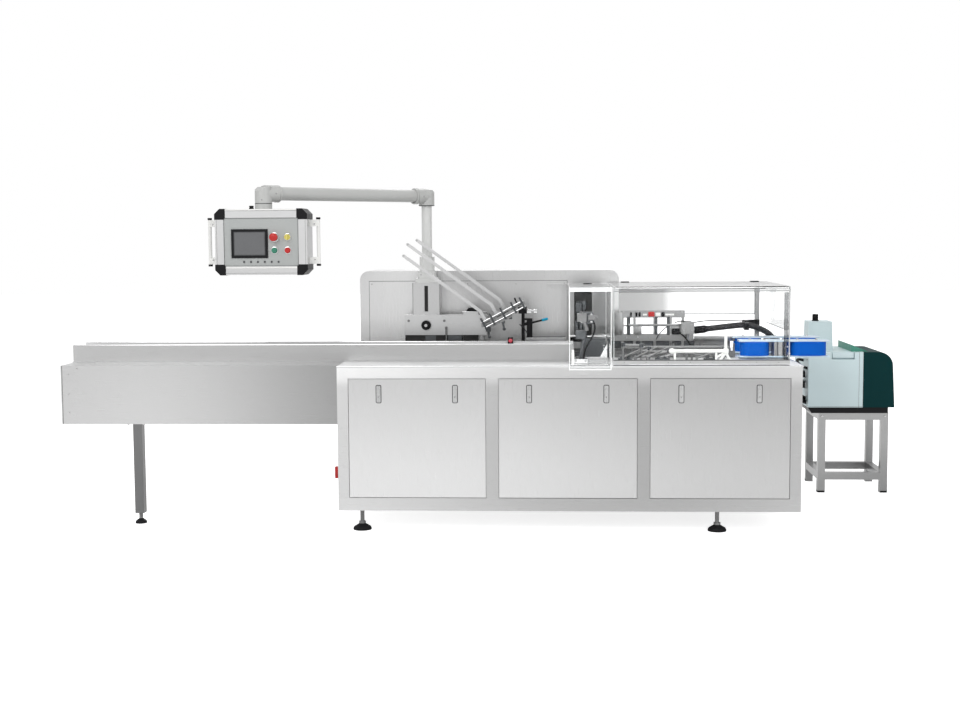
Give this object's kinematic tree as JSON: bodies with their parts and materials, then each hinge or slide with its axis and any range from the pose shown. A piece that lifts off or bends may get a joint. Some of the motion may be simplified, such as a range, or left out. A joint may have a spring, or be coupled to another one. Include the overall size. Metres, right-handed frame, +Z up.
{
  "type": "automatic cartoner",
  "caption": "Horizontal cartoning machine with bucket infeed, inclined carton magazine, clear hoods, swivel operator panel, side-belt outfeed and hot-melt glue unit.",
  "frame": {"origin": "middle of the footprint at floor level, with the arm and the covers at rest", "axes": "+X from infeed to outfeed along the machine, +Y from the operator's side to the back, +Z up"},
  "size_m": [4.506, 1.6722, 1.762],
  "materials": {
    "stainless": "brushed, satin",
    "frame_steel": "matt brushed",
    "bright_steel": "polished",
    "chain_steel": "oiled",
    "black_rubber": "matt",
    "arm_grey": "powder coated",
    "panel_aluminium": "anodised",
    "panel_grey": "satin",
    "black_plastic": "matt",
    "handle_white": "smooth",
    "screen_dark": "smooth",
    "stop_red": "smooth",
    "button_green": "smooth",
    "switch_yellow": "smooth",
    "clear_cover": "clear acrylic",
    "belt_blue": "smooth",
    "plate_blue": "smooth",
    "glue_pale": "satin",
    "glue_dark": "satin",
    "glue_light": "satin"
  },
  "bodies": {
    "machine": {"base_housing": "stainless", "table_top": "stainless", "front_panels": "stainless", "rear_panels": "stainless", "panel_latches": "frame_steel", "levelling_feet": "black_rubber", "foot_screws": "bright_steel", "switch_plate": "switch_yellow", "conveyor_body": "stainless", "conveyor_leg": "frame_steel", "infeed_chain": "chain_steel", "chain_flights": "bright_steel", "chain_sprockets": "chain_steel", "guide_plates": "stainless", "rear_cabinet": "stainless", "cabinet_cover": "stainless", "arm_bracket": "stainless", "arm_base": "arm_grey", "magazine_beam": "stainless", "magazine_rails": "stainless", "magazine_mouth": "frame_steel", "magazine_post": "black_plastic", "carton_guides": "handle_white", "loader_frame": "stainless", "loader_arm": "bright_steel", "hood_frame": "frame_steel", "rear_screen": "clear_cover", "carton_track": "frame_steel", "hold_down_frame": "frame_steel", "closing_rails": "bright_steel", "glue_head": "black_plastic", "belt_plates": "plate_blue", "side_belts": "belt_blue", "glue_hose": "black_rubber", "glue_body": "glue_pale", "glue_cover": "glue_dark", "glue_lid": "glue_light", "glue_base": "black_plastic", "glue_tank": "glue_pale", "glue_ports": "black_plastic", "glue_stand": "frame_steel"},
    "arm": {"arm_column": "arm_grey", "arm_tube": "arm_grey"},
    "operator_panel": {"panel_coupling": "arm_grey", "panel_box": "panel_aluminium", "panel_corners": "black_plastic", "panel_plate": "panel_grey", "screen": "screen_dark", "stop_button": "stop_red", "push_buttons": "button_green", "grab_handles": "handle_white"},
    "handwheel": {"handwheel": "black_plastic"},
    "main_switch": {"main_switch": "stop_red"},
    "loader_cover": {"loader_cover": "clear_cover", "loader_hinge": "black_plastic"},
    "hood": {"hood_shell": "clear_cover", "hood_end": "clear_cover", "hood_trim": "stainless", "hood_hinge": "black_plastic"}
  },
  "joints": [
    {"name": "arm_swivel", "type": "hinge", "parent": "machine", "child": "arm", "pos_m": [-0.405, -0.0319, 1.312], "axis": [0, 0, 1], "range_deg": [-45, 60]},
    {"name": "panel_swivel", "type": "hinge", "parent": "arm", "child": "operator_panel", "pos_m": [-1.16635, -0.7271, 1.667], "axis": [0, 0, 1], "range_deg": [-90, 90]},
    {"name": "loader_cover_lift", "type": "hinge", "parent": "machine", "child": "loader_cover", "pos_m": [0.473, -0.2059, 1.236], "axis": [-1, 0, 0], "range_deg": [0, 75]},
    {"name": "hood_lift", "type": "hinge", "parent": "machine", "child": "hood", "pos_m": [1.026, 0.0341, 1.236], "axis": [-1, 0, 0], "range_deg": [0, 75]},
    {"name": "handwheel_turn", "type": "hinge", "parent": "machine", "child": "handwheel", "pos_m": [-0.402, -0.1539, 1.018], "axis": [0, -1, 0], "continuous": true},
    {"name": "main_switch_turn", "type": "hinge", "parent": "machine", "child": "main_switch", "pos_m": [-0.805, -0.6239, 0.285], "axis": [-1, 0, 0], "range_deg": [0, 90]}
  ]
}
